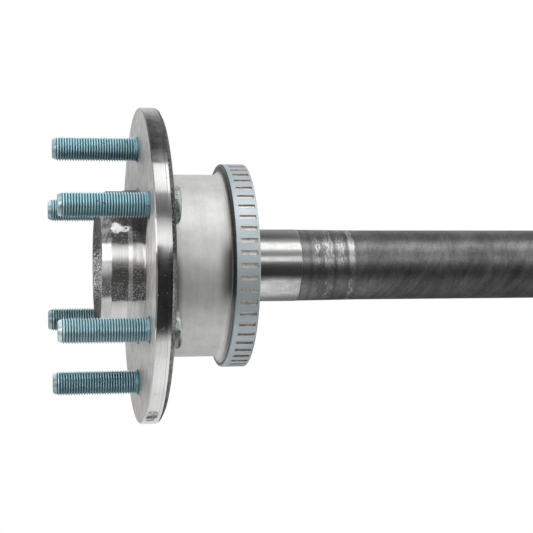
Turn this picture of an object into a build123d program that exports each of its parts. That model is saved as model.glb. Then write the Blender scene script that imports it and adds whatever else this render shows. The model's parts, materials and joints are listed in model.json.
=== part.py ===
"""Rear axle shaft of a pickup: one forging with its wheel studs and tone ring. Millimetres.

The origin is the centre of the wheel face, where the wheel and brake disc seat. +Z runs inboard
along the shaft to its splined end, so the pilot and the studs' threads reach to -Z. Outlines are
lists of (radius, height) places, turned about Z.
"""

import os
from math import radians, tan

from build123d import *

# Wheel studs, M14 x 1.5; the thread itself is a plain cylinder here
stud_count = 6
stud_circle_d = 135.0
stud_d = 14.0
stud_reach = 48.9  # wheel face to tip
stud_tip_d = 10.4
stud_tip_l = 2.2
stud_tip_r = 0.9
stud_neck_d = 13.6  # below the wheel face, down to the knurl
stud_knurl_d = 15.0
stud_knurl_recess = 1.0  # the knurl stops this far below the wheel face
stud_head_d = 21.0
stud_head_t = 5.5
stud_head_r = 2.2
stud_press = 0.0  # clearance of the knurl in its hole

# Wheel flange; widths are measured along the radius
flange_margin = 24.0  # stud circle to the turned rim
flange_t = 11.4
flange_edge = 0.6
flange_rim_h = 8.75
flange_chamfer_w = 0.9  # turned chamfer behind the rim
flange_chamfer_h = 1.25
flange_bevel_w = 2.6  # forged bevel from the chamfer to the flat back

# Pilots that centre the brake disc and the wheel, and the raw face they end in
brake_pilot_d = 88.0
brake_pilot_h = 7.1
pilot_root_r = 1.4
pilot_step_w = 0.7  # cone between the two pilots
pilot_step_h = 2.3
wheel_pilot_h = 9.3
lead_in_w = 6.4
lead_in_h = 4.7
hub_face_w = 7.9
hub_dish_w = 12.0  # sloping side of the dish
hub_dish_depth = 2.4

# Sleeve that carries the tone ring, drawn from sheet
stud_head_gap = 3.85  # stud heads to the sleeve's wall
sheet_t = 2.6
sleeve_h = 36.2  # flange's back to the stepped shoulder
sleeve_base_w = 13.15  # wall's outside to the boss
sleeve_collar_h = 8.5
sleeve_base_r = 4.0
sleeve_step_w = 6.25  # shoulder's step out from the wall
sleeve_step_r = 4.0  # hollow corner between wall and shoulder
sleeve_rim_r = 0.5  # outer edge of the shoulder
sleeve_press = 0.0  # clearance on the boss

# Boss behind the flange, which the sleeve is pressed onto
boss_h = 13.0
boss_cone_h = 11.0  # cone from the boss down to the journal
boss_root_r = 12.0

# Tone ring, a punched band on the sleeve's rim
ring_t = 1.0
ring_h = 13.9
ring_r = 0.7  # rounded edge beside the shoulder
ring_edge = 0.4
ring_press = 0.0  # clearance on the rim
window_count = 54
window_w = 2.4
window_margin = 3.4  # band left between the shoulder and the windows
window_bridge = 1.3  # band left at their other end
window_start_deg = 2.4

# Shaft
journal_d = 42.5
journal_end = 92.2  # wheel face to the end of the ground journal
journal_step_w = 0.15
journal_step_h = 0.4
run_fall_w = 0.4  # the hardened run behind the journal falls this far to the forged shaft
run_end = 131.0
shaft_l = 846.0  # wheel face to inner end

# Splined inner end with its retaining-clip groove
spline_teeth = 34
spline_major_d = 37.0
spline_tooth_h = 1.3
spline_root_w = 0.6
spline_flank_deg = 35.0
spline_l = 66.0
spline_runout = 8.0
neck_l = 6.0  # plain blank between the run-out and the taper
taper_l = 30.0
groove_w = 6.2
groove_d = 27.5
button_d = 34.0
button_l = 8.5
end_chamfer = 1.5
centre_d = 8.0
centre_deg = 60.0
cutter_over = 0.65  # the spline cutter stands out of the blank by this
cutter_exit = 0.05  # and is this clear of it where the run-out begins

# Sizes and places worked out from those above
flange_d = stud_circle_d + 2 * flange_margin
sleeve_d = stud_circle_d - stud_head_d - 2 * stud_head_gap
boss_d = sleeve_d - 2 * sleeve_base_w
ring_d = sleeve_d + 2 * sleeve_step_w
wheel_pilot_d = brake_pilot_d - 2 * pilot_step_w
hub_face_d = wheel_pilot_d - 2 * lead_in_w
hub_dish_d = hub_face_d - 2 * hub_face_w
run_d = journal_d - 2 * journal_step_w
shaft_d = run_d - 2 * run_fall_w
pilot_top = brake_pilot_h + pilot_step_h + wheel_pilot_h  # start of the lead-in
hub_face = pilot_top + lead_in_h
sleeve_step = flange_t + sleeve_h
sleeve_end = sleeve_step + ring_h
groove_end = shaft_l - button_l
groove_start = groove_end - groove_w
spline_start = groove_start - spline_l
taper_end = spline_start - spline_runout - neck_l
centre_depth = centre_d / 2 / tan(radians(centre_deg / 2))


def turned(outline):
    """The solid that an outline of (radius, height) places makes when turned about Z."""
    return revolve(Plane.XZ * outline, Axis.Z)


def rounded(outline, places, radius):
    """The outline with its corners at the given (radius, height) places rounded."""
    corners = [outline.vertices().sort_by_distance((r, z, 0))[0] for r, z in places]
    return fillet(corners, radius)


def around(count, start_deg=0):
    """Equal turns about Z."""
    return [Rot(0, 0, start_deg + i * 360 / count) for i in range(count)]


def hub_outline():
    """Outboard end: dished raw face, wheel pilot, brake pilot, flange rim and its bevels."""
    dish_floor = -hub_face + hub_dish_depth
    chamfer_d = flange_d - 2 * flange_chamfer_w
    return [
        (0, dish_floor + centre_depth),
        (centre_d / 2, dish_floor),
        (hub_dish_d / 2 - hub_dish_w, dish_floor),
        (hub_dish_d / 2, -hub_face),
        (hub_face_d / 2, -hub_face),
        (wheel_pilot_d / 2, -pilot_top),
        (wheel_pilot_d / 2, -brake_pilot_h - pilot_step_h),
        (brake_pilot_d / 2, -brake_pilot_h),
        (brake_pilot_d / 2, 0),
        (flange_d / 2 - flange_edge, 0),
        (flange_d / 2, flange_edge),
        (flange_d / 2, flange_rim_h),
        (chamfer_d / 2, flange_rim_h + flange_chamfer_h),
        (chamfer_d / 2 - flange_bevel_w, flange_t),
    ]


def boss_outline():
    """Back of the flange: sleeve boss, its cone and the ground journal."""
    return [
        (boss_d / 2, flange_t),
        (boss_d / 2, flange_t + boss_h),
        (journal_d / 2, flange_t + boss_h + boss_cone_h),
        (journal_d / 2, journal_end),
        (run_d / 2, journal_end + journal_step_h),
        (shaft_d / 2, run_end),
    ]


def inner_outline():
    """Inner end: taper, spline blank, clip groove, button and centre."""
    return [
        (shaft_d / 2, taper_end - taper_l),
        (spline_major_d / 2, taper_end),
        (spline_major_d / 2, groove_start - end_chamfer),
        (spline_major_d / 2 - end_chamfer, groove_start),
        (groove_d / 2, groove_start),
        (groove_d / 2, groove_end),
        (button_d / 2, groove_end),
        (button_d / 2, shaft_l - end_chamfer),
        (button_d / 2 - end_chamfer, shaft_l),
        (centre_d / 2, shaft_l),
        (0, shaft_l - centre_depth),
    ]


def shaft_blank():
    """The forging as turned, before its holes and splines are cut."""
    outline = make_face(Polyline(*hub_outline(), *boss_outline(), *inner_outline(), close=True))
    boss_root = (journal_d / 2, flange_t + boss_h + boss_cone_h)
    outline = rounded(outline, [(brake_pilot_d / 2, 0)], pilot_root_r)
    outline = rounded(outline, [boss_root], boss_root_r)
    return turned(outline)


def stud_holes():
    """Plain holes through the flange for the studs' knurls."""
    hole = Pos(stud_circle_d / 2, 0, flange_t / 2) * Cylinder(stud_knurl_d / 2 + stud_press, 2 * flange_t)
    return [turn * hole for turn in around(stud_count)]


def spline_space():
    """One tooth space: straight-sided along the spline, then rising out of the blank."""
    depth = spline_tooth_h + cutter_over
    low = spline_root_w / 2
    high = low + depth * tan(radians(spline_flank_deg))

    def section(height, lift):
        root = spline_major_d / 2 - spline_tooth_h + lift
        corners = [(root, -low), (root + depth, -high), (root + depth, high), (root, low)]
        return Plane((0, 0, height)) * make_face(Polyline(*corners, close=True))

    straight = extrude(section(spline_start, 0), groove_start + groove_w / 2 - spline_start, dir=(0, 0, 1))
    runout = section(spline_start - spline_runout, spline_tooth_h + cutter_exit)
    return straight + loft([runout, section(spline_start, 0)])


def axle_shaft():
    """Forged and turned shaft with its integral wheel flange."""
    space = spline_space()
    spaces = [turn * space for turn in around(spline_teeth)]
    return shaft_blank() - stud_holes() - spaces


def wheel_stud():
    """One stud at its place on the +X side, head behind the flange."""
    outline = make_face(
        Polyline(
            (0, -stud_reach),
            (stud_tip_d / 2, -stud_reach),
            (stud_d / 2, -stud_reach + stud_tip_l),
            (stud_d / 2, 0),
            (stud_neck_d / 2, 0),
            (stud_neck_d / 2, stud_knurl_recess),
            (stud_knurl_d / 2, stud_knurl_recess),
            (stud_knurl_d / 2, flange_t),
            (stud_head_d / 2, flange_t),
            (stud_head_d / 2, flange_t + stud_head_t),
            (0, flange_t + stud_head_t),
            close=True,
        )
    )
    tip_corners = [(stud_tip_d / 2, -stud_reach), (stud_d / 2, -stud_reach + stud_tip_l)]
    outline = rounded(outline, tip_corners, stud_tip_r)
    outline = rounded(outline, [(stud_head_d / 2, flange_t + stud_head_t)], stud_head_r)
    return Pos(stud_circle_d / 2, 0, 0) * turned(outline)


def tone_ring_sleeve():
    """Stepped drawn cup: collar on the boss, base on the flange, wall, shoulder and rim."""
    wall = sleeve_d / 2
    rim = ring_d / 2 - ring_t - ring_press
    bore = boss_d / 2 + sleeve_press
    base_top = flange_t + sheet_t
    outline = make_face(
        Polyline(
            (bore, flange_t),
            (wall, flange_t),
            (wall, sleeve_step),
            (rim, sleeve_step),
            (rim, sleeve_end),
            (rim - sheet_t, sleeve_end),
            (rim - sheet_t, sleeve_step + sheet_t),
            (wall - sheet_t, sleeve_step + sheet_t),
            (wall - sheet_t, base_top),
            (bore + sheet_t, base_top),
            (bore + sheet_t, flange_t + sleeve_collar_h),
            (bore, flange_t + sleeve_collar_h),
            close=True,
        )
    )
    inner_r = sleeve_base_r - sheet_t
    outline = rounded(outline, [(wall, flange_t), (wall - sheet_t, sleeve_step + sheet_t)], sleeve_base_r)
    outline = rounded(outline, [(wall - sheet_t, base_top), (bore + sheet_t, base_top)], inner_r)
    outline = rounded(outline, [(wall, sleeve_step)], sleeve_step_r)
    outline = rounded(outline, [(rim, sleeve_step)], sleeve_rim_r)
    return turned(outline)


def tone_ring():
    """Band of punched windows, pressed onto the sleeve's rim until flush with the shoulder."""
    inner, outer = ring_d / 2 - ring_t, ring_d / 2
    outline = make_face(
        Polyline(
            (inner, sleeve_step),
            (outer, sleeve_step),
            (outer, sleeve_end - ring_edge),
            (outer - ring_edge, sleeve_end),
            (inner, sleeve_end),
            close=True,
        )
    )
    outline = rounded(outline, [(outer, sleeve_step)], ring_r)
    window_l = ring_h - window_margin - window_bridge
    middle = Pos(outer - ring_t / 2, 0, sleeve_end - window_bridge - window_l / 2)
    window = middle * Box(2 * ring_t, window_w, window_l)
    return turned(outline) - [turn * window for turn in around(window_count, window_start_deg)]


def main():
    os.makedirs("parts", exist_ok=True)
    nodes = {"axle_shaft": axle_shaft(), "tone_ring_sleeve": tone_ring_sleeve(), "tone_ring": tone_ring()}
    stud = wheel_stud()
    for i, turn in enumerate(around(stud_count)):
        nodes[f"wheel_stud_{i + 1}"] = turn * stud
    for name, solid in nodes.items():
        export_step(solid, f"parts/{name}.step")


main()
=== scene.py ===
import json
from math import acos, atan2, cos, pi, radians, sin, tan

import bmesh
import bpy
from mathutils import Matrix, Vector


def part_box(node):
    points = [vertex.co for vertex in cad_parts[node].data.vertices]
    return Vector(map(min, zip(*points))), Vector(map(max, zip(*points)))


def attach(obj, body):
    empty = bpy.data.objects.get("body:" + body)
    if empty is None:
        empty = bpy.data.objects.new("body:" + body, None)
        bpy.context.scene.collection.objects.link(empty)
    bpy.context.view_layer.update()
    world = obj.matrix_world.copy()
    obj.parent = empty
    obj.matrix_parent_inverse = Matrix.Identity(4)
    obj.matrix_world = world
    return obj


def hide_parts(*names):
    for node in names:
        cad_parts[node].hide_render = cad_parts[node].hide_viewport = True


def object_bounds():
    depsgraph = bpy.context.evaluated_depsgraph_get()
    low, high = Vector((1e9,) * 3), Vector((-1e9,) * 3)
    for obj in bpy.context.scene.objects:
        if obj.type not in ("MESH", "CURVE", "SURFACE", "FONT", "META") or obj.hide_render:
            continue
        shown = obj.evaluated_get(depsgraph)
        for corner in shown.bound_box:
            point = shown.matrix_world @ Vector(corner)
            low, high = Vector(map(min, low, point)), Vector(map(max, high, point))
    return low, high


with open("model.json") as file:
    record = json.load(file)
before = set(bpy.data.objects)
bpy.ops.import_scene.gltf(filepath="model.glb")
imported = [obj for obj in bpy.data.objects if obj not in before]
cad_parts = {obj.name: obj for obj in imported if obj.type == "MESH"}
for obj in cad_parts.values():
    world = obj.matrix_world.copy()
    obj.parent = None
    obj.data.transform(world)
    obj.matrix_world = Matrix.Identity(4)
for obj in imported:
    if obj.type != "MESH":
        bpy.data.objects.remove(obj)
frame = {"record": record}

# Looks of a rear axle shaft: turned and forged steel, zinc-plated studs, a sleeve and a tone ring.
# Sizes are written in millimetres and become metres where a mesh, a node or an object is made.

MM = 0.001
cad_low, cad_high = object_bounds()
mounts = {m["name"]: m.get("dims", {}) for m in frame["record"]["mounts"]}

# Sizes that the frame gives
stud_circle_r = mounts["wheel_studs"]["pcd_mm"] / 2
stud_count = mounts["wheel_studs"]["count"]
thread_r = mounts["wheel_studs"]["stud_r_mm"]
wheel_pilot_r = mounts["wheel_pilot"]["r_mm"]
wheel_pilot_h = mounts["wheel_pilot"]["length_mm"]
brake_pilot_r = mounts["brake_pilot"]["r_mm"]
journal_r = mounts["bearing_journal"]["r_mm"]
flange_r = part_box("axle_shaft")[1].x / MM
hub_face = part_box("axle_shaft")[0].z / MM
shaft_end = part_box("axle_shaft")[1].z / MM
tip_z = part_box("wheel_stud_1")[0].z / MM
head_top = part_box("wheel_stud_1")[1].z / MM
head_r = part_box("wheel_stud_1")[1].x / MM - stud_circle_r
flange_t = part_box("tone_ring_sleeve")[0].z / MM
sleeve_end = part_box("tone_ring_sleeve")[1].z / MM
ring_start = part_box("tone_ring")[0].z / MM
ring_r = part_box("tone_ring")[1].x / MM

# Forging
pilot_top = -18.7
brake_pilot_h = 7.1
pilot_root_r = 1.4
faced_r = brake_pilot_r + pilot_root_r + 0.05  # where the wheel face's finish starts
hub_face_r = 36.9
dish_r = 29.0
dish_floor_r = 17.0
dish_floor = hub_face + 2.4
centre_r = 4.0
centre_depth = 6.93
flange_edge = 0.6
rim_h = 8.75
rim_line = 7.0  # hair line round the rim
rim_line_w = 0.24
rim_line_d = 0.1
rim_fall = 0.06  # how far the rim falls behind the line
chamfer_r = flange_r - 0.9
chamfer_h = rim_h + 1.25
bevel_r = chamfer_r - 2.6
boss_r = 40.0
boss_top = flange_t + 13.0
boss_cone_top = boss_top + 11.0
boss_root_r = 12.0
journal_end = 93.2
run_start = 93.5
run_r = 21.1
run_end = 131.0
shaft_r = 20.7
mark_twist = 91.0  # radians for each metre of shaft, the slant of its marks
# Ragged bands ground bare beside the journal: middle, half width and how bare
ground_bands = [(103.0, 2.0, 0.75), (109.8, 3.2, 0.85), (117.0, 2.6, 0.8), (123.6, 1.9, 1.15)]
ground_end = 125.8
drill_overrun = 2.0  # how far the stud holes' drills stand out of both faces

# Inner end
spline_teeth = 34
spline_r = 18.5
spline_tooth_h = 1.3
spline_root_w = 0.6
spline_flank = radians(35)
groove_r = 13.75
groove_end = shaft_end - 8.5
groove_start = groove_end - 6.2
spline_start = groove_start - 66.0
spline_runout = 8.0
spline_runout_steps = 6
taper_end = spline_start - spline_runout - 6.0
taper_start = taper_end - 30.0
button_r = 17.0
end_chamfer = 1.5

# Studs
thread_pitch = 1.5
thread_depth = 0.92
thread_end = -0.7
tip_r = 5.55
tip_inner_r = tip_r * 0.9  # circle of points that keeps the tip flat
neck_r = 6.8
knurl_r = 7.5
knurl_recess = 1.0
head_round = 2.2
nose_l = 1.4  # smooth end before the first thread
cone_l = 3.3  # cone that takes the end down to tip_r
neck_tone = 0.6  # depth that the neck takes its colour from
stud_sides = 48
thread_rows = 8  # rows of faces along one turn

# Sleeve and tone ring
sleeve_r = 53.15
sheet_t = 2.6
sleeve_step_round = 4.0
sleeve_collar = flange_t + 8.5
sleeve_base_round = 4.0
sleeve_sides = 216
ring_t = 1.0
ring_round = 0.7
ring_round_steps = 4
ring_flat = 0.2  # where a row of points behind the rounding keeps the band straight
ring_chamfer = 0.4
window_count = 54
window_w = 2.4
window_margin = 3.4
window_bridge = 1.3
stain_and_shade_w = 0.2  # brown line round each window: stain and painted shade
window_start = radians(2.4)

# Camera, fitted to the photograph: seen from -Y, with the object's -X side up
camera_lens = 94.1
camera_sensor = 36.0
camera_distance = 808.8
camera_height = -85.75
camera_turn = radians(-90.9)
camera_yaw = radians(11.34)
camera_roll = radians(0.27)
camera_drop = 0.7

# Stage
drum_r = 1300.0
drum_step = 5.0  # degrees
floor_r = 8000.0
floor_sides = 96
floor_level = 0.86
floor_fade = (600.0, 1450.0)  # where the floor starts to go and where it has gone
world_level = 0.35
lamp_aim = 200.0  # height on the axis that the lamps face

# Meshes
sharp_angle = 28  # degrees between two faces from which their edge is sharp
stud_sharp_angle = 50
seam = 1e-6  # points closer than this, in metres, become one


def place(r, angle, z):
    """A point in metres from a radius and height in millimetres and an angle about Z."""
    return Vector((r * cos(angle) * MM, r * sin(angle) * MM, z * MM))


def corner_arc(before, corner, after, radius, steps=4):
    """Points of the arc that rounds a corner of an outline."""
    a = Vector((before[0] - corner[0], before[1] - corner[1])).normalized()
    b = Vector((after[0] - corner[0], after[1] - corner[1])).normalized()
    half = acos(max(-1.0, min(1.0, a.dot(b)))) / 2
    reach = radius / tan(half)
    middle = (a + b).normalized() * (radius / sin(half))
    start, end = a * reach - middle, b * reach - middle
    points = []
    for i in range(steps + 1):
        spoke = start.slerp(end, i / steps).normalized() * radius
        points.append((corner[0] + middle.x + spoke.x, corner[1] + middle.y + spoke.y))
    return points


def outline(corners, closed=False):
    """(radius, height, finish) points of an outline given as (radius, height, rounding, finish)."""
    points = []
    for i, (r, z, rounding, finish) in enumerate(corners):
        ends = not closed and i in (0, len(corners) - 1)
        if rounding and not ends:
            before, after = corners[i - 1], corners[(i + 1) % len(corners)]
            arc = corner_arc(before, (r, z), after, rounding)
            points += [(x, y, finish) for x, y in arc]
        else:
            points.append((r, z, finish))
    return supported(points, closed)


def supported(points, closed):
    """The points with two more beside the ends of each long line, so that it is shaded flat."""
    near_end = 0.15
    result = []
    for i, (r, z, finish) in enumerate(points):
        result.append((r, z, finish))
        if i + 1 == len(points) and not closed:
            break
        line = Vector(points[(i + 1) % len(points)][:2]) - Vector((r, z))
        if line.length > 6 * near_end:
            for along in (near_end / line.length, 1 - near_end / line.length):
                result.append((r + line.x * along, z + line.y * along, finish))
    return result


def lathe(bm, points, angles, closed=False, shape=None):
    """Turns an outline about Z; its places on the axis are single points."""
    rows = []
    for r, z, _ in points:
        if r == 0:
            rows.append([bm.verts.new(place(0, 0, z))] * len(angles))
        else:
            radii = [shape(r, z, a) if shape else r for a in angles]
            rows.append([bm.verts.new(place(q, a, z)) for q, a in zip(radii, angles)])
    last = len(rows) if closed else len(rows) - 1
    for i in range(last):
        low, high = rows[i], rows[(i + 1) % len(rows)]
        for j in range(len(angles)):
            k = (j + 1) % len(angles)
            corners = list(dict.fromkeys((low[j], low[k], high[k], high[j])))
            face = bm.faces.new(corners)
            face.material_index = points[i][2]


def even_angles(count):
    """Equal turns of a circle."""
    return [2 * pi * i / count for i in range(count)]


def linked(name, data):
    """An object of the scene."""
    item = bpy.data.objects.new(name, data)
    bpy.context.scene.collection.objects.link(item)
    return item


def mesh_of(bm, name, materials=()):
    """Ends a bmesh in a mesh."""
    mesh = bpy.data.meshes.new(name)
    bm.to_mesh(mesh)
    bm.free()
    for material in materials:
        mesh.materials.append(material)
    return mesh


def finished(bm, name, materials, node, sharp=sharp_angle):
    """Makes the piece that stands for a CAD node out of a bmesh."""
    bmesh.ops.recalc_face_normals(bm, faces=bm.faces)
    mesh = mesh_of(bm, name, materials)
    mesh.shade_smooth()
    mesh.set_sharp_from_angle(angle=radians(sharp))
    piece = linked(name, mesh)
    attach(piece, "root")
    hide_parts(node)
    return piece


class Nodes:
    """Short ways to add shader nodes to one material or world. Places are in millimetres."""

    def __init__(self, tree):
        self.tree = tree
        tree.nodes.clear()

    def add(self, kind, inputs=None, **settings):
        node = self.tree.nodes.new("ShaderNode" + kind)
        for key, value in settings.items():
            setattr(node, key, value)
        for key, value in (inputs or {}).items():
            self.feed(node.inputs[key], value)
        return node

    def feed(self, socket, value):
        if isinstance(value, bpy.types.NodeSocket):
            self.tree.links.new(value, socket)
        else:
            socket.default_value = value

    def math(self, operation, *values, clamp=False):
        """Runs an operation over the values, two at a time."""
        result = values[0]
        for value in values[1:]:
            node = self.add("Math", {0: result, 1: value}, operation=operation, use_clamp=clamp)
            result = node.outputs[0]
        return result

    def plus(self, *values):
        return self.math("ADD", *values)

    def times(self, *values):
        return self.math("MULTIPLY", *values)

    def most(self, *values):
        return self.math("MAXIMUM", *values)

    def minus(self, a, b, clamp=False):
        return self.math("SUBTRACT", a, b, clamp=clamp)

    def rest_of(self, part):
        """What a part leaves of 1."""
        return self.math("SUBTRACT", 1.0, part)

    def size_of(self, value):
        """A value without its sign."""
        return self.math("ABSOLUTE", value, 0.0)

    def vector(self, operation, inputs, output="Vector"):
        return self.add("VectorMath", inputs, operation=operation).outputs[output]

    def position(self):
        return self.add("TexCoord").outputs["Object"]

    def split(self):
        return self.add("SeparateXYZ", {0: self.position()}).outputs

    def along(self):
        """How far along the axis a place lies."""
        return self.split()[2]

    def radius(self):
        """How far from the axis a place lies."""
        x, y, _ = self.split()
        flat = self.add("CombineXYZ", {0: x, 1: y}).outputs[0]
        return self.vector("LENGTH", {0: flat}, "Value")

    def way_along(self, vector, direction):
        """How far a place lies along a direction."""
        return self.vector("DOT_PRODUCT", {0: vector, 1: direction}, "Value")

    def height(self):
        """How high above the axis a place lies in the photograph."""
        return self.way_along(self.position(), upward)

    def reach(self):
        """How far toward the camera a place lies."""
        return self.way_along(self.position(), outward)

    def normal(self):
        return self.add("NewGeometry").outputs["Normal"]

    def turning_vector(self):
        """(radius, way along the axis, slow change), in which turning marks are straight bands."""
        slow = self.times(self.noise(self.position(), 18.0, detail=1.0), 0.004)
        return self.add("CombineXYZ", {0: self.radius(), 1: self.along(), 2: slow}).outputs[0]

    def noise(self, vector, scale, detail=3.0, roughness=0.55, stretch=(1, 1, 1)):
        moved = self.add("Mapping", {"Vector": vector, "Scale": stretch}).outputs[0]
        inputs = {"Vector": moved, "Scale": scale, "Detail": detail, "Roughness": roughness}
        return self.add("TexNoise", inputs).outputs["Fac"]

    def steps(self, value, low, high, to_low=0.0, to_high=1.0):
        """Goes smoothly from one level to another while the value goes from low to high."""
        inputs = {"Value": value, "From Min": low, "From Max": high, "To Min": to_low, "To Max": to_high}
        return self.add("MapRange", inputs, interpolation_type="SMOOTHSTEP").outputs[0]

    def spread(self, noise, to_low, to_high):
        """Brings the middle range of a noise to two levels."""
        return self.steps(noise, 0.3, 0.7, to_low, to_high)

    def blend(self, part, at_none, at_all):
        """A level that follows a part from 0 to 1."""
        return self.steps(part, 0, 1, at_none, at_all)

    def fade(self, value, low, high, to_low=0.0, to_high=1.0):
        """Goes smoothly from one level to another between two places in millimetres."""
        return self.steps(value, low * MM, high * MM, to_low, to_high)

    def strip(self, value, low, high, soft, level=1.0):
        """A level between two places in millimetres and 0 outside, with soft ends."""
        inside = self.fade(value, low - soft, low + soft, 0.0, level)
        return self.times(inside, self.fade(value, high - soft, high + soft, 1.0, 0.0))

    def ragged(self, vector, scale, reach):
        """The vector pushed about by a noise, so that what is drawn with it has a ragged edge."""
        push = self.add("TexNoise", {"Vector": vector, "Scale": scale, "Detail": 4.0}).outputs["Color"]
        centred = self.vector("SUBTRACT", {0: push, 1: (0.5, 0.5, 0.5)})
        push = self.vector("SCALE", {0: centred, "Scale": reach * MM})
        return self.vector("ADD", {0: vector, 1: push})

    def near(self, vector, spot, radius, stretch=(1, 1, 1)):
        """1 at a spot of the object, down to 0 at a radius in millimetres from it."""
        offset = self.vector("SUBTRACT", {0: vector, 1: spot})
        offset = self.vector("MULTIPLY", {0: offset, 1: stretch})
        return self.fade(self.vector("LENGTH", {0: offset}, "Value"), radius * 0.75, radius, 1.0, 0.0)

    def mix(self, factor, a, b):
        node = self.add("Mix", data_type="RGBA")
        for socket, value in zip((node.inputs[0], node.inputs[6], node.inputs[7]), (factor, a, b)):
            self.feed(socket, value)
        return node.outputs[2]

    def grey_colour(self, level, tint=(1.0, 1.0, 1.0)):
        parts = [self.times(level, part) for part in tint]
        return self.add("CombineColor", dict(enumerate(parts))).outputs[0]

    def bump(self, height, strength, depth):
        """Marks that deep in millimetres."""
        inputs = {"Height": height, "Strength": strength, "Distance": depth * MM}
        return self.add("Bump", inputs).outputs[0]

    def turned(self, marks, stretch, strength, depth=0.03):
        """Inputs for turning marks and the shine that is stretched across them."""
        return {
            "Anisotropic": stretch,
            "Anisotropic Rotation": 0.25,
            "Tangent": self.add("Tangent", direction_type="RADIAL", axis="Z").outputs[0],
            "Normal": self.bump(marks, strength, depth),
        }

    def surface(self, colour, metallic, roughness, **others):
        """Ends a material in one Principled shader."""
        inputs = {"Base Color": colour, "Metallic": metallic, "Roughness": roughness}
        inputs.update((key.replace("_", " "), value) for key, value in others.items())
        shader = self.add("BsdfPrincipled", inputs)
        self.add("OutputMaterial", {"Surface": shader.outputs[0]})


def grey(level, tint=(1.0, 1.0, 1.0)):
    """A colour of that level, with its alpha."""
    return (level * tint[0], level * tint[1], level * tint[2], 1.0)


def above_camera(r, degrees_up, z):
    """A place on the object, by its angle up from the side that faces the camera."""
    return place(r, camera_turn - radians(degrees_up), z)


upward = place(1 / MM, camera_turn - pi / 2, 0)  # up in the photograph
outward = place(1 / MM, camera_turn, 0)  # toward the camera


def new_material(name):
    material = bpy.data.materials.new(name)
    material.use_nodes = True
    return material, Nodes(material.node_tree)


def turned_steel():
    """Rim and inner end: bright, with fine marks of the tool, a darker, rougher mottled band toward the
    top, painted shade next to the wheel face and a few nicks.
    """
    material, n = new_material("turned_steel")
    position, height, along = n.position(), n.height(), n.along()
    marks = n.noise(n.turning_vector(), 2200.0, detail=2.0)
    cloud = n.noise(position, 60.0, detail=4.0)
    mottle = n.noise(position, 190.0, detail=5.0, roughness=0.65)
    grit = n.noise(position, 900.0, detail=3.0, roughness=0.7)
    # Darker and rougher in a mottled band toward the top, by height
    top = n.times(
        n.strip(height, 54.4, 120, 0.8), n.fade(height, 94, 78), n.fade(height, 56, 65, 0.62, 0.88),
        n.spread(mottle, 0.85, 1.1), n.fade(along, 1, 7, 1.05, 0.85),
    )
    middle = n.times(n.strip(height, 24, 36, 2), n.steps(grit, 0.45, 0.65, 0.0, 0.5))
    edge = n.ragged(position, 520.0, 3.5)
    clumps = n.noise(position, 520.0, detail=4.0, roughness=0.7)
    smudge = n.near(edge, above_camera(flange_r, -66.0, 3.4), 9.5, (1, 1, 2.1))
    smudge = n.times(smudge, n.steps(clumps, 0.4, 0.6, 0.15, 0.7))
    core = n.near(edge, above_camera(flange_r, -67.2, 3.6), 4.4, (1, 1, 1.05))
    core = n.times(core, n.steps(clumps, 0.4, 0.55, 0.6, 0.85))
    low_core = n.near(edge, above_camera(flange_r, -71.8, 3.2), 3.4, (1, 1, 1.1))
    low_core = n.times(low_core, n.steps(clumps, 0.4, 0.55, 0.5, 0.75))
    dot = n.near(edge, above_camera(flange_r, -67.4, 2.6), 2.8, (1, 1, 1.4))
    edge = n.ragged(position, 500.0, 1.0)
    notch = n.near(edge, above_camera(flange_r, 43.2, 0.9), 1.2)
    scratch = n.near(edge, above_camera(flange_r, 49.5, 4.6), 2.4, (1, 6, 1))
    dull = n.most(top, middle, smudge, core, dot, low_core, notch, scratch)
    # Painted shade: the rim darker next to the wheel face, in a band by height
    painted_shade_by_face = n.times(n.strip(height, -2, 10.4, 2, 0.62), n.fade(along, 5.5, 1))
    level = n.plus(n.spread(marks, 0.595, 0.645), n.steps(cloud, 0.3, 0.75, -0.03, 0.03))
    level = n.times(level, n.blend(dull, 1.0, 0.1), n.rest_of(painted_shade_by_face))
    nicks = n.steps(n.noise(position, 520.0, detail=2.0, roughness=0.8), 0.66, 0.7)
    rough = n.plus(n.spread(cloud, 0.09, 0.14), n.times(dull, 0.35), n.times(nicks, 0.35))
    n.surface(n.grey_colour(level, (1, 1, 0.99)), 1.0, rough, **n.turned(marks, 0.6, 0.05))
    return material


def faced_steel():
    """Wheel face: turned across, so that it mirrors the studs only as soft shapes; painted highlight and
    shade in bands by height, and painted shade under the near upper stud.
    """
    material, n = new_material("faced_steel")
    height, reach = n.height(), n.reach()
    marks = n.noise(n.turning_vector(), 1500.0, detail=3.0)
    cloud = n.noise(n.position(), 110.0, detail=5.0, roughness=0.6)
    # Painted highlight and shade: the face lighter and darker in bands by height
    painted_light = n.plus(
        1.1, n.strip(height, 2, 27, 2.5, 0.5), n.strip(height, -28, -17.5, 2, 0.22),
        n.strip(height, -60, -46, 4, 0.25), n.strip(height, 28, 41, 2, -0.25),
    )
    # Painted shade between the near upper stud and the pilot, up to a slanting line
    slant = n.plus(n.minus(reach, n.times(height, 1.15)), n.times(cloud, 0.004))
    painted_stud_shade = n.times(n.fade(slant, 29.5, 25.5), n.fade(reach, 15, 25), n.strip(height, 14, 31, 1.5, 0.88))
    level = n.plus(n.spread(marks, 0.43, 0.55), n.spread(cloud, -0.1, 0.06))
    colour = n.grey_colour(n.times(level, painted_light, n.rest_of(painted_stud_shade)), (1.03, 1, 0.985))
    n.surface(colour, 0.65, n.spread(marks, 0.52, 0.62), **n.turned(marks, 0.6, 0.2, 0.04))
    return material


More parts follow.
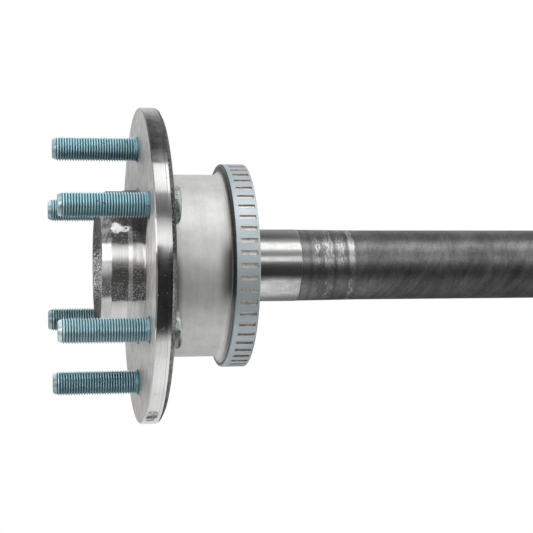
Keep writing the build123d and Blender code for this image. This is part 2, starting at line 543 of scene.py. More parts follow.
def edge_steel():
    """Broken edge between wheel face and rim: dark, with painted highlights in bands by height."""
    material, n = new_material("edge_steel")
    height = n.height()
    # Painted highlight: lighter bands by height
    painted_highlight = n.most(
        n.strip(height, 7, 25, 1.5, 0.6), n.strip(height, 25, 55, 1.5, 0.25),
        n.strip(height, -120, -33, 2, 0.4),
    )
    n.surface(n.grey_colour(n.plus(painted_highlight, 0.1)), 1.0, 0.2)
    return material


def pilot_steel():
    """Pilots: turned, with rough specks, dark stain and painted shade in bands by height, black grime and
    painted shadow under the near upper stud, painted highlights and corner shade by height, painted
    reflection bands on the lead-in cone, and a dab of grease.
    """
    material, n = new_material("pilot_steel")
    position, height, along = n.position(), n.height(), n.along()
    marks = n.noise(n.turning_vector(), 2200.0, detail=2.0)
    grain = n.noise(position, 1200.0, detail=4.0, roughness=0.85)
    cloud = n.noise(position, 150.0, detail=3.0)
    uneven = n.plus(height, n.times(cloud, 0.003))
    on_cone = n.fade(along, pilot_top + 0.6, pilot_top)
    off_cone = n.rest_of(on_cone)

    # Dark stain and painted shade: bands by height on the near side, darkened, browned and specked
    low_stain_and_shade = n.times(n.fade(uneven, -18.6, -16.6), n.fade(uneven, 5.5, -4.5), off_cone)
    high_stain_and_shade = n.strip(uneven, 14.0, 40, 1.5)
    stain = n.times(n.most(high_stain_and_shade, low_stain_and_shade), n.fade(n.reach(), 0, 10))
    crowd = n.plus(
        n.strip(uneven, -18.3, -7.5, 2.5, 0.075),
        n.times(high_stain_and_shade, 0.05),
        n.times(n.strip(along, -9.5, -7, 0.3, 0.05), stain),
        n.times(n.strip(uneven, -5, 1.5, 2, 0.055), n.fade(along, -7.1, -6.6)),
    )
    specks = n.steps(n.plus(grain, n.times(crowd, n.blend(on_cone, 1.0, 0.3))), 0.6, 0.66)

    # Black grime and painted shadow under the near upper stud, and painted shade along the lowest edge
    slant = n.plus(height, n.times(along, 0.7), n.times(cloud, 0.008))
    grime_and_shade = n.times(n.fade(slant, 15.5, 22.5), n.steps(grain, 0.35, 0.65, 1.0, 0.85))
    grime_and_shade = n.most(n.times(grime_and_shade, n.fade(n.reach(), -20, -5)), n.fade(height, -42.5, -43.5))

    off_step = n.rest_of(n.strip(along, -9.5, -7.0, 0.15, 0.45))
    stained_and_shaded = n.steps(n.times(stain, off_step), 0, 0.85, 1.0, 0.15)
    # Painted highlight: the brake pilot lighter in two bands by height
    painted_highlight = n.plus(n.strip(height, 2, 16, 2, 0.55), n.strip(height, -60, -17.5, 1.5, 0.4))
    painted_highlight = n.times(painted_highlight, n.strip(along, -5.0, -1.5, 0.5))
    # Painted shade in the corners beside the step and the wheel face, on the lower side
    painted_corner_shade = n.most(n.strip(along, -9.6, -7.0, 0.15, 0.22), n.strip(along, -1.4, 5, 0.15, 0.4))
    painted_corner_shade = n.times(painted_corner_shade, n.strip(height, -60, -17, 1))
    level = n.times(n.spread(marks, 0.58, 0.66), stained_and_shaded, n.minus(n.plus(painted_highlight, 1.0), painted_corner_shade))

    # Painted reflection: the lead-in cone's level in bands by height, with lighter wiped smudges toward the
    # top
    cone_reflection_and_smudges = n.most(
        n.strip(height, 2.5, 12.5, 1.2), n.strip(height, -60, -17.5, 1.5, 0.75),
        n.fade(n.size_of(n.plus(height, -0.003)), 1, 11.5, 0.5, 0.0),
    )
    wiped = n.steps(n.noise(position, 330.0, detail=3.0, roughness=0.6), 0.42, 0.6, 0.12, 0.5)
    cone_reflection_and_smudges = n.plus(cone_reflection_and_smudges, n.times(n.strip(uneven, 13, 60, 2), wiped), n.spread(cloud, 0.05, 0.14))
    level = n.plus(n.times(level, off_cone), n.times(cone_reflection_and_smudges, 0.62, on_cone))

    edge = n.ragged(n.ragged(position, 500.0, 3.0), 1300.0, 1.2)
    dab = n.near(edge, above_camera(wheel_pilot_r, 28.8, -15.7), 3.9, (1, 1, 1.15))
    tail = n.near(edge, above_camera(wheel_pilot_r, 28.2, -12.0), 2.2, (1, 1, 0.5))
    hole = n.near(position, above_camera(wheel_pilot_r, 28.6, -10.3), 0.75)
    grease = n.minus(n.most(dab, tail), hole, clamp=True)
    folds = n.noise(position, 480.0, detail=3.0, roughness=0.6)
    greased = n.grey_colour(n.steps(folds, 0.45, 0.62, 0.95, 0.65))

    brown_stain_and_shade = n.times(stain, off_cone)
    clean = n.mix(brown_stain_and_shade, n.grey_colour(level, (1, 1, 0.985)), n.grey_colour(level, (1.06, 1, 0.93)))
    colour = n.mix(grime_and_shade, n.mix(specks, clean, grey(0.58)), grey(0.035))
    dull = n.times(n.most(specks, stain), 0.6)
    rough = n.most(n.steps(dull, 0, 0.6, 0.13, 0.55), n.times(grime_and_shade, 0.5), n.times(grease, 0.5))
    metallic = n.rest_of(n.most(dull, grease))
    n.surface(n.mix(grease, colour, greased), metallic, rough, **n.turned(marks, 0.5, 0.12))
    return material


def ground_steel():
    """Bearing journal: ground, with short fine scratches round it."""
    material, n = new_material("ground_steel")
    marks = n.noise(n.turning_vector(), 3000.0, detail=2.0)
    stains = n.noise(n.position(), 320.0, detail=4.0, stretch=(1, 1, 0.4))
    level = n.plus(n.spread(marks, 0.6, 0.66), n.steps(stains, 0.3, 0.75, 0.02, -0.05))
    rough = n.steps(stains, 0.35, 0.7, 0.12, 0.2)
    n.surface(n.grey_colour(level, (1, 1, 0.985)), 1.0, rough, **n.turned(marks, 0.4, 0.08, 0.02))
    return material


def forging_scale():
    """Dark oxide on the forged shaft, with slanting marks and the ragged bands that grinding left; a
    painted highlight on the run, and the marks painted lighter and stronger on the lower side.
    """
    material, n = new_material("forging_scale")
    position, height, along = n.position(), n.height(), n.along()
    twist = n.times(along, mark_twist)
    twisted = n.add("VectorRotate", {"Vector": position, "Angle": twist}, rotation_type="Z_AXIS").outputs[0]
    slants = n.noise(twisted, 130.0, detail=5.0, roughness=0.6, stretch=(1, 1, 0.35))
    patches = n.noise(position, 60.0, detail=5.0, roughness=0.6)
    grain = n.noise(position, 900.0, detail=3.0, roughness=0.6)
    rings = n.noise(n.turning_vector(), 420.0, detail=4.0, roughness=0.6)
    on_shaft = n.fade(along, ground_end - 1, ground_end + 1)
    on_run = n.rest_of(on_shaft)
    # Painted light: the slanting marks lighter and stronger on the lower side
    under = n.fade(height, 8, -4)
    slants = n.spread(slants, n.blend(under, 0.18, 0.185), n.blend(under, 0.225, 0.285))
    slants = n.plus(slants, n.spread(rings, -0.02, 0.02))
    level = n.plus(n.times(slants, on_shaft), n.times(n.spread(rings, 0.17, 0.25), on_run))
    # Painted highlight: the run lighter in a band by height
    painted_run_highlight = n.times(n.strip(height, -7, 4, 2, 0.4), on_run)
    level = n.times(
        level, n.spread(patches, 0.75, 1.25), n.spread(grain, 0.85, 1.15),
        n.blend(on_shaft, 1.2, 1.08), n.plus(painted_run_highlight, 1.0),
    )
    wear = 0.0
    for middle, half, strength in ground_bands:
        off = n.size_of(n.minus(along, middle * MM))
        wear = n.most(wear, n.fade(off, half * 0.4, half * 1.5, strength, 0.0))
    ragged = n.noise(position, 850.0, detail=6.0, roughness=0.8, stretch=(0.3, 0.3, 1))
    less = n.plus(n.strip(height, -60, -2, 3, 0.09), n.strip(height, 15, 60, 2, 0.07))
    bare = n.steps(n.plus(n.minus(ragged, less), n.times(wear, 0.2)), 0.62, 0.67)
    bare = n.times(bare, n.steps(wear, 0.0, 0.2))
    colour = n.mix(bare, n.grey_colour(level), grey(0.62))
    rough = n.blend(n.minus(on_shaft, bare), 0.3, 0.36)
    n.surface(colour, 1.0, rough, Normal=n.bump(grain, 0.35, 0.1))
    return material


def rough_back():
    """Flange's back edge and back: dull, pitted forging, with painted light and shade in bands by height.
    """
    material, n = new_material("rough_back")
    position, height = n.position(), n.height()
    pits = n.noise(position, 650.0, detail=4.0, roughness=0.7)
    cloud = n.noise(position, 90.0, detail=4.0)
    specks = n.steps(n.noise(position, 1000.0, detail=2.0, roughness=0.7), 0.6, 0.68)
    # Painted light and shade: lighter toward the bottom, darker in two bands, by height
    painted_light = n.plus(
        n.fade(height, 10, -20, 1.0, 1.6), n.fade(height, -38, -47, 0.0, 0.45),
        n.strip(height, -42, -33, 2, -0.55), n.strip(height, 5, 40, 2.5, -0.6),
    )
    level = n.times(n.steps(pits, 0.35, 0.7, 0.07, 0.26), n.spread(cloud, 0.8, 1.2), painted_light)
    n.surface(n.mix(specks, n.grey_colour(level), grey(0.6)), 1.0, 0.5, Normal=n.bump(pits, 0.5, 0.2))
    return material


def raw_face():
    """Raw end of the pilot: dark scale worn to bright specks, with more specks in a band by height as
    painted light.
    """
    material, n = new_material("raw_face")
    speck = n.noise(n.position(), 1250.0, detail=4.0, roughness=0.85, stretch=(1, 0.35, 1))
    # Painted light: more bright specks in a ragged band by height
    wear_and_painted_light = n.strip(n.way_along(n.ragged(n.position(), 50.0, 12.0), upward), -17, 9, 5)
    bright = n.steps(n.plus(speck, n.times(wear_and_painted_light, 0.09)), 0.6, 0.64)
    n.surface(
        n.mix(bright, grey(0.035), grey(0.95)), bright, n.blend(bright, 0.55, 0.35),
        Specular_IOR_Level=0.15, Normal=n.bump(speck, 0.2, 0.3),
    )
    return material


def sleeve_steel():
    """Satin drawn sheet with faint lines round it, and painted shade at its base by the flange, stronger on
    the lower side, and in the hollow before its shoulder.
    """
    material, n = new_material("sleeve_steel")
    position, height, along = n.position(), n.height(), n.along()
    lines = n.noise(n.turning_vector(), 700.0, detail=3.0)
    fine = n.noise(position, 1400.0, detail=2.0)
    cloud = n.noise(position, 120.0, detail=5.0, roughness=0.65)
    lower_side = n.strip(height, -36, 4, 9)
    # Painted shade: darker at the base by the flange and in the hollow before the shoulder
    base_painted_shade = n.times(n.fade(along, 21.5, 15), n.blend(lower_side, 0.2, 0.75))
    hollow_painted_shade = n.times(n.fade(along, 36, 47), n.strip(height, -19, 12, 8), 0.85)
    level = n.plus(n.spread(cloud, 0.6, 0.7), n.spread(lines, -0.015, 0.015))
    level = n.times(level, n.blend(n.most(base_painted_shade, hollow_painted_shade), 1.0, 0.1))
    colour = n.grey_colour(level, (1, 1, 0.985))
    n.surface(colour, 0.75, n.spread(fine, 0.46, 0.54), Normal=n.bump(fine, 0.15, 0.03))
    return material


def shoulder_steel():
    """Sleeve's shoulder and the ring's rounded edge: dark and pitted, lighter near the wall, with a painted
    highlight on the bend and the ring's plate colour at its edge, both on the lower side only.
    """
    material, n = new_material("shoulder_steel")
    radius = n.radius()
    pits = n.noise(n.position(), 750.0, detail=3.0, roughness=0.7)
    # Painted highlight: the bend and the ring's plated edge are light only on the lower side
    below = n.fade(n.height(), -12, -26)
    painted_bend_highlight = n.times(n.fade(radius, sleeve_r + 4.4, sleeve_r + 3.6), below)
    near_wall = n.fade(radius, sleeve_r + 2.4, sleeve_r + 1.5, 0.0, 0.75)
    plated = n.times(n.fade(radius, ring_r - 1.0, ring_r - 0.8), below)
    dark = n.grey_colour(n.steps(pits, 0.35, 0.7, 0.05, 0.16), (1, 1, 0.97))
    colour = n.mix(n.most(painted_bend_highlight, near_wall), dark, grey(0.6))
    colour = n.mix(plated, colour, grey(0.5, (0.86, 1.0, 1.07)))
    n.surface(colour, 1.0, 0.5, Normal=n.bump(pits, 0.5, 0.2))
    return material


def bare_rim():
    """Sleeve's rim as seen through the ring's windows: bright, with brown stains."""
    material, n = new_material("bare_rim")
    stain = n.steps(n.noise(n.position(), 500.0, detail=4.0, roughness=0.65), 0.5, 0.7)
    n.surface(n.mix(stain, grey(0.62, (1, 0.99, 0.97)), grey(0.38, (1, 0.92, 0.86))), 0.5, 0.5)
    return material


def ring_zinc():
    """Pale blue zinc plate of the tone ring, with a few faint brown stains."""
    material, n = new_material("ring_zinc")
    cloud = n.spread(n.noise(n.position(), 60.0, detail=5.0), 0.0, 1.0)
    spots = n.steps(n.noise(n.position(), 220.0, detail=4.0, roughness=0.6), 0.62, 0.75, 0.0, 0.7)
    clean = n.mix(cloud, grey(0.48, (0.86, 1.0, 1.07)), grey(0.54, (0.9, 1.0, 1.04)))
    n.surface(n.mix(spots, clean, grey(0.5, (1, 0.94, 0.86))), 0.7, 0.44)
    return material


def punched_edge():
    """Walls of the ring's windows and the line round each: bare, stained brown and darkened as painted
    shade.
    """
    material, n = new_material("punched_edge")
    stain = n.steps(n.noise(n.position(), 400.0, detail=3.0), 0.4, 0.65)
    n.surface(n.mix(stain, grey(0.26, (1, 0.86, 0.77)), grey(0.5, (1, 0.92, 0.85))), 0.3, 0.6)
    return material


def thread_zinc():
    """Blue-green zinc plate of the studs: pale on the crests, deep in the thread's roots, partly as painted
    shade; painted shade in the hole, where it faces down and on the lower far stud, and a painted highlight
    on the lower near stud's crests.
    """
    material, n = new_material("thread_zinc")
    position, along = n.position(), n.along()
    cloud = n.noise(position, 160.0, detail=5.0)
    depth = n.add("Attribute", attribute_name="depth").outputs["Fac"]
    flank = n.mix(n.spread(cloud, 0.0, 1.0), grey(0.8, (0.5, 0.91, 1.0)), grey(0.92, (0.62, 0.94, 1.0)))
    outer = n.mix(n.steps(depth, 0.05, 0.4), grey(1.0, (0.82, 0.97, 1.0)), flank)
    # Dark roots: partly painted shade in the recesses
    colour = n.mix(n.steps(depth, 0.5, 1.0), outer, grey(0.2, (0.18, 0.7, 1.0)))
    neck = n.fade(along, thread_end - thread_pitch, thread_end - 1.0)
    colour = n.mix(neck, colour, grey(0.68, (0.42, 0.81, 1.0)))
    # Painted shade: near black where the stud stands in its hole
    painted_hole_shade = n.fade(along, 0.1, 0.6)
    colour = n.mix(painted_hole_shade, colour, grey(0.03))
    nose = n.fade(along, tip_z + nose_l + 0.9, tip_z + nose_l + 0.4)
    wear_and_painted_light = n.steps(cloud, 0.35, 0.65)
    wear_and_painted_light = n.mix(wear_and_painted_light, grey(0.5, (0.7, 0.93, 1.0)), grey(0.9, (0.84, 0.97, 1.0)))
    colour = n.mix(nose, colour, wear_and_painted_light)
    # Painted shade: darker where the surface faces down
    under = n.steps(n.way_along(n.normal(), upward), 0.2, -0.65, 0.0, 0.62)
    colour = n.mix(n.times(under, n.blend(nose, 1.0, 0.55)), colour, grey(0.15, (0.4, 0.85, 1.0)))
    low = n.strip(n.height(), -46, -5, 4)
    near_side = n.fade(n.reach(), -10, 10)
    # Painted highlight: pale crests on the lower near stud
    painted_crest_highlight = n.times(low, near_side, n.steps(depth, 0.4, 0.9, 0.27, 0.05))
    colour = n.mix(painted_crest_highlight, colour, grey(0.95, (0.88, 1.0, 1.0)))
    # Painted shade: the lower far stud darker
    painted_far_shade = n.times(low, n.rest_of(near_side), 0.3)
    colour = n.mix(painted_far_shade, colour, grey(0.12, (0.6, 0.9, 1.0)))
    spots = n.steps(n.noise(position, 330.0, detail=4.0, roughness=0.7), 0.62, 0.68, 0.0, 0.75)
    n.surface(n.mix(spots, colour, grey(0.05, (1, 0.9, 0.85))), 0.8, n.blend(nose, 0.42, 0.27))
    return material


def head_zinc():
    """Stud heads: silvery zinc with green tints, dark spots and painted shade where they face down."""
    material, n = new_material("head_zinc")
    tint = n.steps(n.noise(n.position(), 260.0, detail=4.0), 0.4, 0.6)
    spots = n.noise(n.position(), 480.0, detail=3.0, roughness=0.6)
    plate = n.mix(tint, grey(0.62, (1.0, 1.0, 0.92)), grey(0.5, (0.8, 0.97, 0.87)))
    # Painted shade: darker where the surface faces down
    under = n.steps(n.way_along(n.normal(), upward), 0.2, -0.7, 0.0, 0.6)
    plate = n.mix(under, plate, grey(0.14, (0.85, 1.0, 0.88)))
    colour = n.mix(n.steps(spots, 0.52, 0.64), plate, grey(0.16, (0.8, 1.0, 0.9)))
    n.surface(colour, 0.9, 0.42, Normal=n.bump(spots, 0.3, 0.2))
    return material


def spline_angles():
    """Columns of the forging's mesh, so that each spline tooth has its corners on columns."""
    root = spline_r - spline_tooth_h
    low = atan2(spline_root_w / 2, root)
    high_y = spline_root_w / 2 + spline_tooth_h * tan(spline_flank)
    high = atan2(high_y, spline_r)
    half = pi / spline_teeth
    inside = [-high, -(low + high) / 2, -low, low, (low + high) / 2, high]
    top = [high + (2 * half - 2 * high) * i / 4 for i in (1, 2, 3)]
    return [2 * half * tooth + a for tooth in range(spline_teeth) for a in inside + top]


def spline_radius(r, z, angle):
    """The radius that the spline's spaces leave of a turned radius."""
    if not spline_start - spline_runout < z <= groove_start:
        return r
    pitch = 2 * pi / spline_teeth
    a = abs((angle + pitch / 2) % pitch - pitch / 2)
    painted_light = max(0.0, (spline_start - z) / spline_runout) * spline_tooth_h
    root = spline_r - spline_tooth_h + painted_light
    if root * tan(a) <= spline_root_w / 2:
        left = root / cos(a)
    else:
        x = (root * tan(spline_flank) - spline_root_w / 2) / (tan(spline_flank) - tan(a))
        left = x / cos(a)
    return min(r, left)


def axle_shaft():
    """The forging: hub, flange, boss, journal, shaft and splined end."""
    turned, faced, pilot, ground, scale, raw, back, edge = range(8)
    hub = [
        (0, dish_floor + centre_depth, 0, turned),
        (centre_r, dish_floor, 0, raw),
        (dish_floor_r, dish_floor, 1.5, raw),
        (dish_r, hub_face, 1.5, raw),
        (hub_face_r, hub_face, 0.4, pilot),
        (wheel_pilot_r, pilot_top, 0.8, pilot),
        (wheel_pilot_r, pilot_top + wheel_pilot_h, 0.3, pilot),
        (brake_pilot_r, -brake_pilot_h, 0.3, pilot),
        (brake_pilot_r, 0, pilot_root_r, pilot),
        (faced_r, 0, 0, faced),
        (flange_r - flange_edge, 0, 0.1, edge),
        (flange_r, flange_edge, 0.2, turned),
        (flange_r, rim_line, 0, edge),
        (flange_r - rim_line_d, rim_line + rim_line_w / 2, 0, edge),
        (flange_r - rim_fall / 2, rim_line + rim_line_w, 0, turned),
        (flange_r - rim_fall, rim_h, 0.3, back),
        (chamfer_r, chamfer_h, 0.3, back),
        (bevel_r, flange_t, 1.0, back),
        (boss_r, flange_t, 0, turned),
        (boss_r, boss_top, 0.6, turned),
        (journal_r, boss_cone_top, boss_root_r, ground),
        (journal_r, journal_end, 0, ground),
        (run_r, run_start, 0, scale),
        (shaft_r, run_end, 0, scale),
        (shaft_r, taper_start, 6.0, turned),
        (spline_r, taper_end, 4.0, turned),
        (spline_r, spline_start - spline_runout, 0, turned),
    ]
    runout = []
    for i in range(1, spline_runout_steps + 1):
        z = spline_start - spline_runout * (1 - i / spline_runout_steps)
        runout.append((spline_r, z, 0, turned))
    inner = [
        (spline_r, groove_start - end_chamfer, 0, turned),
        (spline_r - end_chamfer, groove_start, 0, turned),
        (groove_r, groove_start, 0, turned),
        (groove_r, groove_end, 0, turned),
        (button_r, groove_end, 0, turned),
        (button_r, shaft_end - end_chamfer, 0.3, turned),
        (button_r - end_chamfer, shaft_end, 0.3, turned),
        (centre_r, shaft_end, 0, turned),
        (0, shaft_end - centre_depth, 0, turned),
    ]
    bm = bmesh.new()
    lathe(bm, outline(hub + runout + inner), spline_angles(), shape=spline_radius)
    materials = [
        turned_steel(), faced_steel(), pilot_steel(), ground_steel(),
        forging_scale(), raw_face(), rough_back(), edge_steel(),
    ]
    piece = finished(bm, "axle_forging", materials, "axle_shaft")
    cut_stud_holes(piece, raw)


def cut_stud_holes(piece, finish):
    """Cuts the studs' holes through the flange and gives their walls a finish."""
    bm = bmesh.new()
    for turn in even_angles(stud_count):
        drill = Matrix.Translation(place(stud_circle_r, turn, flange_t / 2))
        bmesh.ops.create_cone(
            bm, cap_ends=True, segments=stud_sides, radius1=knurl_r * MM, radius2=knurl_r * MM,
            depth=(flange_t + 2 * drill_overrun) * MM, matrix=drill,
        )
    for face in bm.faces:
        face.material_index = finish
    drills = linked("drills", mesh_of(bm, "drills"))
    cut = piece.modifiers.new("holes", "BOOLEAN")
    cut.operation, cut.object, cut.solver = "DIFFERENCE", drills, "MANIFOLD"
    evaluated = piece.evaluated_get(bpy.context.evaluated_depsgraph_get())
    drilled = bpy.data.meshes.new_from_object(evaluated)
    piece.modifiers.clear()
    piece.data = drilled
    drilled.name = piece.name
    drilled.set_sharp_from_angle(angle=radians(sharp_angle))
    bpy.data.objects.remove(drills)


def thread_place(turns, z):
    """Radius and relative depth of the thread at a place counted in turns from a crest's middle."""
    part = abs((turns + 0.5) % 1.0 - 0.5)
    crest, root = 1 / 16, 3 / 8
    fall = min(1.0, max(0.0, (part - crest) / (root - crest)))
    from_tip = z - tip_z
    fall *= min(1.0, max(0.0, (from_tip - nose_l) / (thread_pitch / 2)))
    nose = tip_r + (thread_r - tip_r) * min(1.0, from_tip / cone_l)
    runout = min(1.0, max(0.0, (z - thread_end + thread_pitch) / thread_pitch))
    radius = min(thread_r - thread_depth * fall, nose)
    return radius * (1 - runout) + neck_r * runout, fall * (1 - runout) + neck_tone * runout


def wheel_stud(index, materials):
    """One stud: chamfered tip, rolled thread, neck, knurl and head."""
    bm = bmesh.new()
    depth = bm.verts.layers.float.new("depth")
    angles = even_angles(stud_sides)
    rows = int(thread_rows * ((thread_end - tip_z) / thread_pitch + 1)) + 2
    grid = []
    for a in range(stud_sides):
        column = []
        for k in range(rows + 1):
            turns = k / thread_rows + a / stud_sides - 1
            z = min(thread_end, max(tip_z, tip_z + turns * thread_pitch))
            radius, fall = thread_place(turns, z)
            vert = bm.verts.new(place(radius, angles[a], z))
            vert[depth] = fall
            column.append(vert)
        grid.append(column)
    for a in range(stud_sides):
        wrap = thread_rows if a == stud_sides - 1 else 0
        following = grid[(a + 1) % stud_sides]
        for k in range(rows - wrap):
            bm.faces.new((grid[a][k], following[k + wrap], following[k + 1 + wrap], grid[a][k + 1]))
    body = outline([
        (neck_r, thread_end, 0, 0),
        (neck_r, knurl_recess, 0, 0),
        (knurl_r, knurl_recess, 0, 0),
        (knurl_r, flange_t, 0, 1),
        (head_r, flange_t, 0, 1),
        (head_r, head_top, head_round, 1),
        (0, head_top, 0, 1),
    ])
    lathe(bm, body, angles)
    for vert in bm.verts:
        if vert.co.z >= thread_end * MM:
            vert[depth] = neck_tone
    lathe(bm, [(tip_r, tip_z, 0), (tip_inner_r, tip_z, 0), (0, tip_z, 0)], angles)
    bmesh.ops.remove_doubles(bm, verts=bm.verts, dist=seam)
    bmesh.ops.dissolve_degenerate(bm, edges=bm.edges, dist=seam / 10)
    turn = Matrix.Rotation(2 * pi * (index - 1) / stud_count, 4, "Z")
    bmesh.ops.transform(bm, matrix=turn @ Matrix.Translation((stud_circle_r * MM, 0, 0)), verts=bm.verts)
    finished(bm, f"stud_{index}", materials, f"wheel_stud_{index}", stud_sharp_angle)


def tone_ring_sleeve(dark):
    """Drawn sleeve: collar, base, wall, shoulder and rim."""
    rim = ring_r - ring_t
    satin, shoulder, bare = range(3)
    corners = [
        (boss_r, flange_t, 0.8, satin),
        (sleeve_r, flange_t, sleeve_base_round, satin),
        (sleeve_r, ring_start, sleeve_step_round, satin),
        (rim, ring_start, 0.5, bare),
        (rim, sleeve_end, 0.3, satin),
        (rim - sheet_t, sleeve_end, 0.3, satin),
        (rim - sheet_t, ring_start + sheet_t, 0.8, satin),
        (sleeve_r - sheet_t, ring_start + sheet_t, sleeve_base_round, satin),
        (sleeve_r - sheet_t, flange_t + sheet_t, 1.4, satin),
        (boss_r + sheet_t, flange_t + sheet_t, 1.4, satin),
        (boss_r + sheet_t, sleeve_collar, 0.3, satin),
        (boss_r, sleeve_collar, 0.3, satin),
    ]
    points = []
    for r, z, finish in outline(corners, closed=True):
        on_shoulder = sleeve_r + 0.4 < r < rim - 0.3 and z < ring_start + 0.1
        points.append((r, z, shoulder if on_shoulder else finish))
    bm = bmesh.new()
    lathe(bm, points, even_angles(sleeve_sides), closed=True)
    finishes = [sleeve_steel(), dark, bare_rim()]
    finished(bm, "ring_sleeve", finishes, "tone_ring_sleeve")


def tone_ring(shoulder):
    """Punched band with a wall of faces round each window."""
    zinc, stained_and_shaded, plated = range(3)
    half = window_w / 2 / ring_r
    pitch = 2 * pi / window_count
    outside = half + stain_and_shade_w / ring_r
    quarter = (pitch / 2 + outside) / 2
    across = [-outside, -half, half, outside, quarter, pitch / 2, pitch - quarter]
    angles = [window_start + pitch * i + a for i in range(window_count) for a in across]
    turns = [pi / 2 * i / ring_round_steps for i in range(ring_round_steps + 1)]
    rows = [(ring_r - ring_round * (1 - sin(t)), ring_start + ring_round * (1 - cos(t))) for t in turns]
    rows.append((ring_r, ring_start + ring_round + ring_flat))
    window_row = len(rows) + 1
    rows += [
        (ring_r, ring_start + window_margin - stain_and_shade_w),
        (ring_r, ring_start + window_margin),
        (ring_r, sleeve_end - window_bridge),
        (ring_r, sleeve_end - window_bridge + stain_and_shade_w),
        (ring_r, sleeve_end - ring_chamfer),
        (ring_r - ring_chamfer * 0.3, sleeve_end - ring_chamfer * 0.3),
        (ring_r - ring_chamfer, sleeve_end),
    ]
    bm = bmesh.new()
    outer = [[bm.verts.new(place(r, a, z)) for a in angles] for r, z in rows]
    inner = [[bm.verts.new(place(ring_r - ring_t, a, z)) for a in angles] for r, z in rows]
    count = len(angles)

    def finish_of(row, column):
        # The rounded edge takes the shoulder's dark finish: painted shade, with the plate colour only on
        # the lower side
        if row < ring_round_steps:
            return plated
        # Faces beside each window take the stained finish: brown stain and painted shade
        beside = abs(row - window_row) <= 1 and column % len(across) <= 2
        return stained_and_shaded if beside else zinc

    def wall(a, b, c, d, finish=zinc):
        bm.faces.new((a, b, c, d)).material_index = finish

    for i in range(len(rows) - 1):
        for j in range(count):
            k = (j + 1) % count
            # Window walls take the stained finish: brown stain and painted shade
            if i == window_row and j % len(across) == 1:
                for row in (i, i + 1):
                    wall(outer[row][j], outer[row][k], inner[row][k], inner[row][j], stained_and_shaded)
                for side in (j, k):
                    wall(outer[i][side], outer[i + 1][side], inner[i + 1][side], inner[i][side], stained_and_shaded)
                continue
            wall(outer[i][j], outer[i][k], outer[i + 1][k], outer[i + 1][j], finish_of(i, j))
            wall(inner[i][j], inner[i + 1][j], inner[i + 1][k], inner[i][k])
    for j in range(count):
        k = (j + 1) % count
        wall(outer[0][j], inner[0][j], inner[0][k], outer[0][k])
        wall(outer[-1][j], outer[-1][k], inner[-1][k], inner[-1][j])
    finishes = [ring_zinc(), punched_edge(), shoulder]
    finished(bm, "ring_band", finishes, "tone_ring")


def drum(name, low, high, profile):
    """Ring of light that only the metal mirrors, from (angle up from the camera, level) points."""
    bm = bmesh.new()
    level = bm.verts.layers.float.new("level")
    edge = []
    for (start, a), (end, b) in zip(profile, profile[1:]):
        steps = max(1, round((start - end) / drum_step))
        for i in range(steps + 1):
            angle = camera_turn - radians(start + (end - start) * i / steps)
            pair = [bm.verts.new(place(drum_r, angle, z)) for z in (low, high)]
            for vert in pair:
                vert[level] = a + (b - a) * i / steps
            edge.append(pair)
    for a, b in zip(edge, edge[1:]):
        bm.faces.new((a[0], b[0], b[1], a[1]))
    bmesh.ops.remove_doubles(bm, verts=bm.verts, dist=seam)
    material, n = new_material(name)
    shade = n.add("Attribute", attribute_name="level").outputs["Fac"]
    glow = n.add("Emission", {"Color": grey(1.0), "Strength": shade})
    n.add("OutputMaterial", {"Surface": glow.outputs[0]})
    item = linked(name, mesh_of(bm, name, [material]))
    item.visible_camera = False
    item.visible_diffuse = False
    item.visible_shadow = False
    item.visible_transmission = False


def lamp(name, angle, distance, height, size, power):
    """A soft box that faces the axis, from an angle measured up from the camera."""
    light = bpy.data.lights.new(name, "AREA")
    light.shape = "RECTANGLE"
    light.size, light.size_y = [side * MM for side in size]
    light.energy = power
    item = linked(name, light)
    item.location = above_camera(distance, angle, height)
    aim = place(0, 0, lamp_aim) - item.location
    item.rotation_mode = "QUATERNION"
    item.rotation_quaternion = aim.to_track_quat("-Z", "Y")
    item.visible_camera = False
    item.visible_glossy = False


def white_world():
    """White where it is seen or mirrored, and a plain grey light otherwise."""
    world = bpy.data.worlds.new("studio")
    bpy.context.scene.world = world
    world.use_nodes = True
    n = Nodes(world.node_tree)
    path = n.add("LightPath")
    seen = n.most(*(path.outputs[f"Is {kind} Ray"] for kind in ("Camera", "Glossy", "Transmission")))
    white = n.add("Background", {"Color": grey(1.0), "Strength": 1.0})
    plain = n.add("Background", {"Color": grey(1.0), "Strength": world_level})
    both = n.add("MixShader", {0: seen, 1: plain.outputs[0], 2: white.outputs[0]})
    n.add("OutputWorld", {"Surface": both.outputs[0]})


def floor():
    """Pale floor that fades out with distance.

    It shows from above only, since the camera looks from just under its level.
    """
    bm = bmesh.new()
    bmesh.ops.create_circle(bm, cap_ends=True, segments=floor_sides, radius=floor_r * MM)
    for face in bm.faces:
        if face.normal.z < 0:
            face.normal_flip()
    material, n = new_material("floor")
    side = n.add("NewGeometry").outputs["Backfacing"]
    gone = n.most(side, n.fade(n.radius(), *floor_fade))
    pale = n.add("BsdfDiffuse", {"Color": grey(floor_level)})
    clear = n.add("BsdfTransparent")
    both = n.add("MixShader", {0: gone, 1: pale.outputs[0], 2: clear.outputs[0]})
    n.add("OutputMaterial", {"Surface": both.outputs[0]})
    item = linked("floor", mesh_of(bm, "floor", [material]))
    item.location.z = cad_low.z
    item.visible_glossy = False


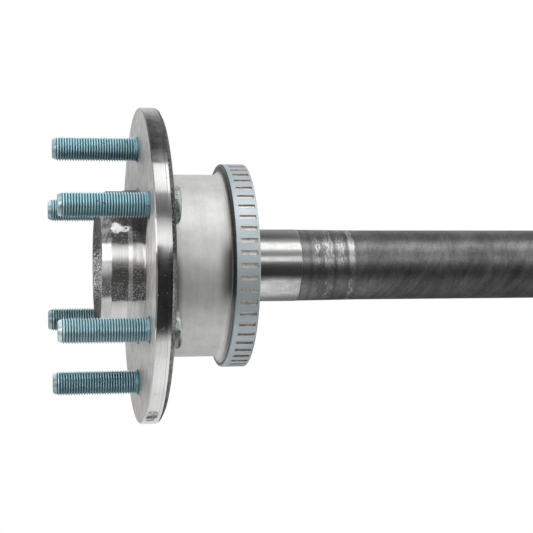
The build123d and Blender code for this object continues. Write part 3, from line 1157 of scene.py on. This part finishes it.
def camera():
    """The photograph's view."""
    data = bpy.data.cameras.new("camera")
    data.lens, data.sensor_width = camera_lens, camera_sensor
    item = linked("camera", data)
    inward = -Vector((cos(camera_turn), sin(camera_turn), 0))
    forward = inward * cos(camera_yaw) + Vector((0, 0, sin(camera_yaw)))
    level_up = Vector((0, 0, 1)).cross(inward)
    level_right = forward.cross(level_up)
    right = level_right * cos(camera_roll) - level_up * sin(camera_roll)
    up = level_up * cos(camera_roll) + level_right * sin(camera_roll)
    turn = Matrix((right, up, -forward)).transposed()
    spot = place(camera_distance, camera_turn, camera_height) - level_up * camera_drop * MM
    item.matrix_world = Matrix.Translation(spot) @ turn.to_4x4()
    data.clip_start, data.clip_end = 0.05, 50
    bpy.context.scene.camera = item


# Light that the metal mirrors: the lowest place of each ring, then (angle up from the camera, level)
light_rings = {
    "far_ring": (-40000, [(180, 1.6), (-180, 1.6)]),
    "step_ring": (-2500, [
        (180, 0.9), (60, 0.9), (52, 0.5), (34, 0.4), (30, 1.6), (12, 1.6), (6, 0.6), (-46, 0.4),
        (-52, 0.9), (-180, 0.9),
    ]),
    "hub_ring": (-400, [
        (180, 1.0), (80, 0.9), (60, 1.3), (54, 0.5), (48, 0.15), (38, 0.15), (33, 0.4), (30, 0.75),
        (25, 1.2), (20, 1.4), (15, 1.3), (11, 1.05), (6, 0.5), (2, 0.2), (-6, 0.08), (-48, 0.04),
        (-53, 0.25), (-57, 0.65), (-70, 0.88), (-180, 1.0),
    ]),
    "rim_ring": (140, [
        (180, 0.6), (114, 0.6), (107, 0.35), (99, 0.08), (86, 0.08), (79, 0.2), (75.5, 0.6), (73, 1.6),
        (69, 1.75), (53, 1.7), (50, 0.5), (46, 0.36), (37, 0.18), (34, 0.26), (30, 0.7), (25, 1.05),
        (20, 1.35), (14, 1.25), (12, 0.6), (9, 0.15), (4, 0.03), (-5, 0.01), (-42, 0.01), (-46, 0.15),
        (-49, 0.6), (-53, 1.1), (-64, 1.1), (-69, 1.25), (-88, 1.3), (-100, 1.05), (-114, 1.1), (-180, 0.6),
    ]),
    "journal_ring": (250, [
        (180, 0.5), (134, 0.3), (107, 0.14), (97, 0.16), (88, 0.37), (79, 0.76), (72, 1.5), (54, 1.5),
        (48, 0.85), (42, 0.42), (35, 0.28), (30, 0.35), (25, 0.95), (20, 1.15), (15, 1.1), (11, 0.35),
        (4, 0.13), (-8, 0.05), (-30, 0.04), (-37, 0.14), (-45, 0.45), (-54, 0.95), (-78, 1.0),
        (-95, 0.85), (-108, 0.65), (-128, 0.25), (-180, 0.15),
    ]),
    "shaft_ring": (400, [
        (180, 0.5), (135, 0.6), (116, 0.4), (98, 0.35), (85, 0.45), (76, 0.9), (73, 1.7), (53, 1.7),
        (50, 0.6), (33, 0.5), (25, 0.95), (12, 0.95), (9, 0.2), (-8, 0.08), (-34, 0.06), (-50, 0.12),
        (-180, 0.12),
    ]),
}
rings_end = 1500


def light_the_stage():
    """Rings of light for the metal, the lamps that light the floor, and the world."""
    ends = [low for low, _ in light_rings.values()][1:] + [rings_end]
    for (name, (low, profile)), high in zip(light_rings.items(), ends):
        drum(name, low, high, profile)
    lamp("key_lamp", angle=62, distance=1400, height=500, size=(900, 1600), power=42)
    lamp("low_lamp", angle=-75, distance=1500, height=500, size=(800, 1200), power=10)
    white_world()


bpy.context.scene.view_settings.view_transform = "Standard"
axle_shaft()
dark_edge = shoulder_steel()
tone_ring_sleeve(dark_edge)
tone_ring(dark_edge)
plating = [thread_zinc(), head_zinc()]
for number in range(1, stud_count + 1):
    wheel_stud(number, plating)
floor()
light_the_stage()
camera()
